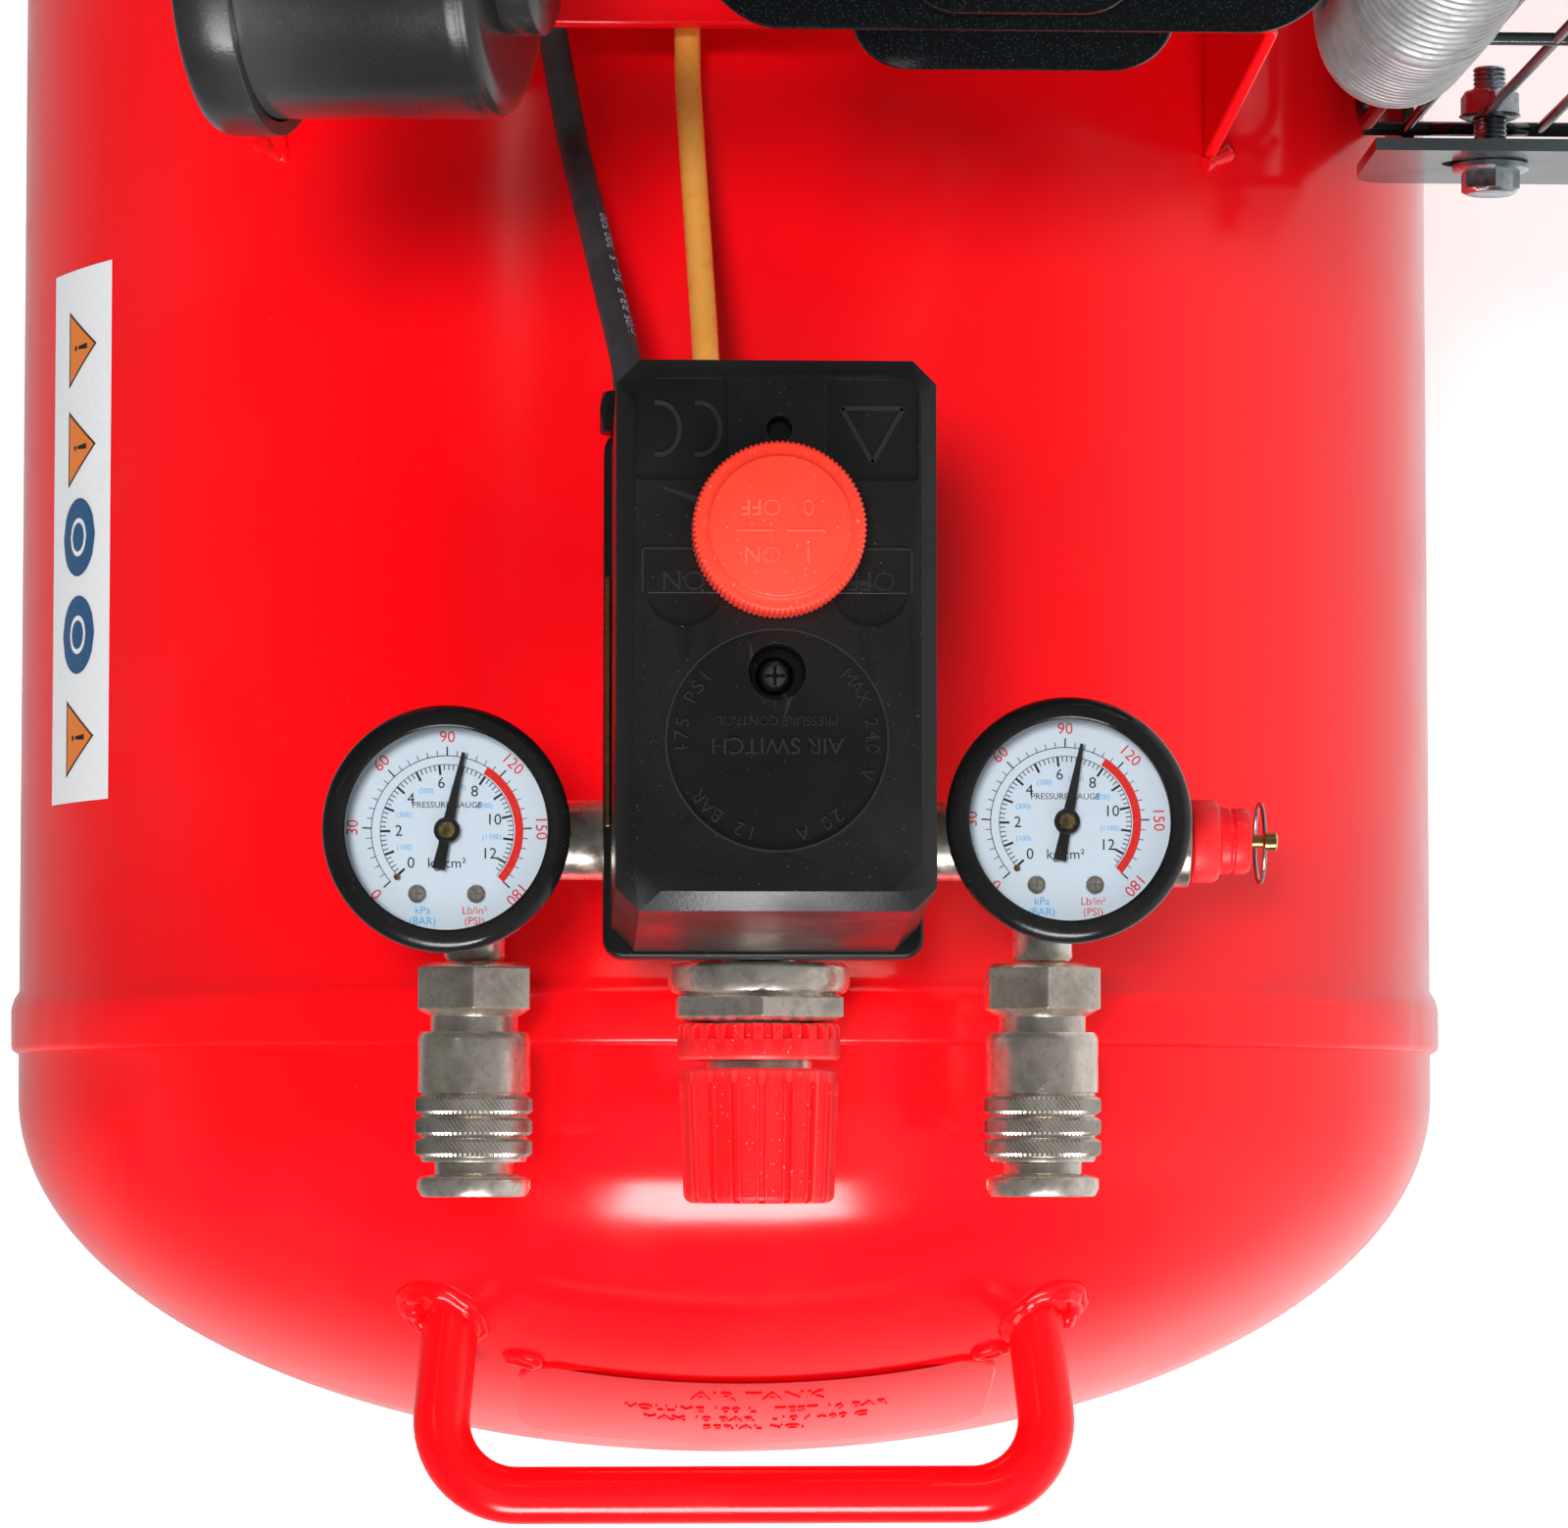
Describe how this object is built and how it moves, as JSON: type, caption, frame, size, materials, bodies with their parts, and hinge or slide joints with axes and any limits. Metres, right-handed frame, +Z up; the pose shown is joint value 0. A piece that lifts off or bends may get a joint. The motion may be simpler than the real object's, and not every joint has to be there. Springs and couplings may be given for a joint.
{
  "type": "air compressor",
  "caption": "Belt-driven V-twin workshop air compressor on a red horizontal tank, with a pressure switch, gauges, quick couplers, regulator and wire belt guard.",
  "frame": {"origin": "on the floor, under the centre of the machine", "axes": "+Z up, +Y along the tank from the handle end to the wheels, +X towards the belt guard"},
  "size_m": [0.4726, 1.0307, 0.8025],
  "materials": {
    "red_paint": "glossy powder coat with a light orange peel",
    "black_paint": "gloss black with fine metal fleck",
    "black_plastic": "satin moulded plastic",
    "gauge_black": "gloss black",
    "knob_orange": "satin orange-red",
    "regulator_red": "satin red",
    "nickel": "warm nickel plate",
    "zinc": "bright zinc plate",
    "steel": "machined steel",
    "cast_iron": "black painted casting",
    "aluminium": "satin",
    "copper": "bright drawn copper",
    "brass": "bright",
    "rubber": "matt black",
    "dial_white": "printed bluish white",
    "clear_lens": "clear"
  },
  "bodies": {
    "frame": {"air_filter_body_front": "black_plastic", "air_filter_lid_front": "black_plastic", "air_filter_rear": "black_plastic", "axle_bracket": "red_paint", "belt_guard": "black_paint", "check_valve": "brass", "conrod_front": "steel", "conrod_rear": "steel", "coupler_body_left": "nickel", "coupler_body_right": "nickel", "cover_screw": "zinc", "crankcase": "cast_iron", "crankshaft": "steel", "cylinder_front": "cast_iron", "cylinder_head_front": "black_paint", "cylinder_head_rear": "black_paint", "cylinder_rear": "cast_iron", "discharge_pipe": "aluminium", "drive_belt": "rubber", "foot_left": "rubber", "foot_right": "rubber", "front_handle": "red_paint", "front_leg": "red_paint", "gauge_case_left": "gauge_black", "gauge_case_right": "gauge_black", "gauge_dial_left": "dial_white", "gauge_dial_right": "dial_white", "gauge_lens_left": "clear_lens", "gauge_lens_right": "clear_lens", "guard_bolt": "zinc", "guard_bracket": "black_paint", "link_pipe": "aluminium", "manifold": "nickel", "motor_body": "black_paint", "motor_cable": "rubber", "piston_front": "aluminium", "piston_rear": "aluminium", "regulator_body": "nickel", "saddle": "red_paint", "safety_valve_body": "regulator_red", "switch_base": "black_plastic", "switch_cover": "black_plastic", "tank_head_front": "red_paint", "tank_head_rear": "red_paint", "tank_shell": "red_paint", "unloader_tube": "copper"},
    "wheel_left": {"wheel_left": "rubber"},
    "wheel_right": {"wheel_right": "rubber"},
    "switch_knob": {"switch_knob": "knob_orange"},
    "regulator_knob": {"regulator_knob": "regulator_red"},
    "regulator_lock_ring": {"regulator_lock_ring": "regulator_red"},
    "sleeve_left": {"coupler_sleeve_left": "nickel"},
    "sleeve_right": {"coupler_sleeve_right": "nickel"},
    "needle_left": {"gauge_needle_left": "gauge_black"},
    "needle_right": {"gauge_needle_right": "gauge_black"},
    "safety_pin": {"safety_valve_pin": "brass"},
    "safety_ring": {"safety_valve_ring": "steel"},
    "flywheel": {"flywheel": "cast_iron"},
    "motor_pulley": {"motor_pulley": "steel"},
    "drain_valve": {"drain_valve": "brass"}
  },
  "joints": [
    {"name": "wheel_left_spin", "type": "hinge", "parent": "frame", "child": "wheel_left", "pos_m": [-0.214, 0.305, 0.1], "axis": [1, 0, 0], "continuous": true},
    {"name": "wheel_right_spin", "type": "hinge", "parent": "frame", "child": "wheel_right", "pos_m": [0.214, 0.305, 0.1], "axis": [1, 0, 0], "continuous": true},
    {"name": "switch_pull", "type": "slide", "parent": "frame", "child": "switch_knob", "axis": [0, 0, 1], "range_m": [0, 0.008]},
    {"name": "regulator_turn", "type": "hinge", "parent": "frame", "child": "regulator_knob", "pos_m": [0, -0.423, 0.52], "axis": [0, -1, 0], "range_deg": [-360, 360]},
    {"name": "lock_ring_turn", "type": "hinge", "parent": "frame", "child": "regulator_lock_ring", "pos_m": [0, -0.402, 0.52], "axis": [0, -1, 0], "range_deg": [-180, 180]},
    {"name": "sleeve_left_push", "type": "slide", "parent": "frame", "child": "sleeve_left", "axis": [0, 1, 0], "range_m": [0, 0.003], "stiffness_N_per_m": 2000, "springref_m": -0.002},
    {"name": "sleeve_right_push", "type": "slide", "parent": "frame", "child": "sleeve_right", "axis": [0, 1, 0], "range_m": [0, 0.003], "stiffness_N_per_m": 2000, "springref_m": -0.002},
    {"name": "needle_left_turn", "type": "hinge", "parent": "frame", "child": "needle_left", "pos_m": [-0.0695, -0.3572, 0.5735], "axis": [0, 0, 1], "range_deg": [-121, 143]},
    {"name": "needle_right_turn", "type": "hinge", "parent": "frame", "child": "needle_right", "pos_m": [0.0646, -0.355, 0.5735], "axis": [0, 0, 1], "range_deg": [-120, 144]},
    {"name": "safety_pull", "type": "slide", "parent": "frame", "child": "safety_pin", "axis": [1, 0, 0], "range_m": [0, 0.003], "stiffness_N_per_m": 2000, "springref_m": -0.002},
    {"name": "safety_ring_swing", "type": "hinge", "parent": "safety_pin", "child": "safety_ring", "pos_m": [0.1147, -0.3565, 0.52], "axis": [0, -1, 0], "range_deg": [0, 80]},
    {"name": "flywheel_spin", "type": "hinge", "parent": "frame", "child": "flywheel", "pos_m": [0.1825, -0.025, 0.595], "axis": [1, 0, 0], "continuous": true},
    {"name": "motor_spin", "type": "hinge", "parent": "frame", "child": "motor_pulley", "pos_m": [0.1825, 0.195, 0.598], "axis": [1, 0, 0], "continuous": true},
    {"name": "drain_turn", "type": "hinge", "parent": "frame", "child": "drain_valve", "pos_m": [0, 0.005, 0.1], "axis": [0, 0, -1], "range_deg": [0, 360]}
  ],
  "couplings": [
    {"joint": "motor_spin", "follows": "flywheel_spin", "ratio": 3.1111}
  ]
}
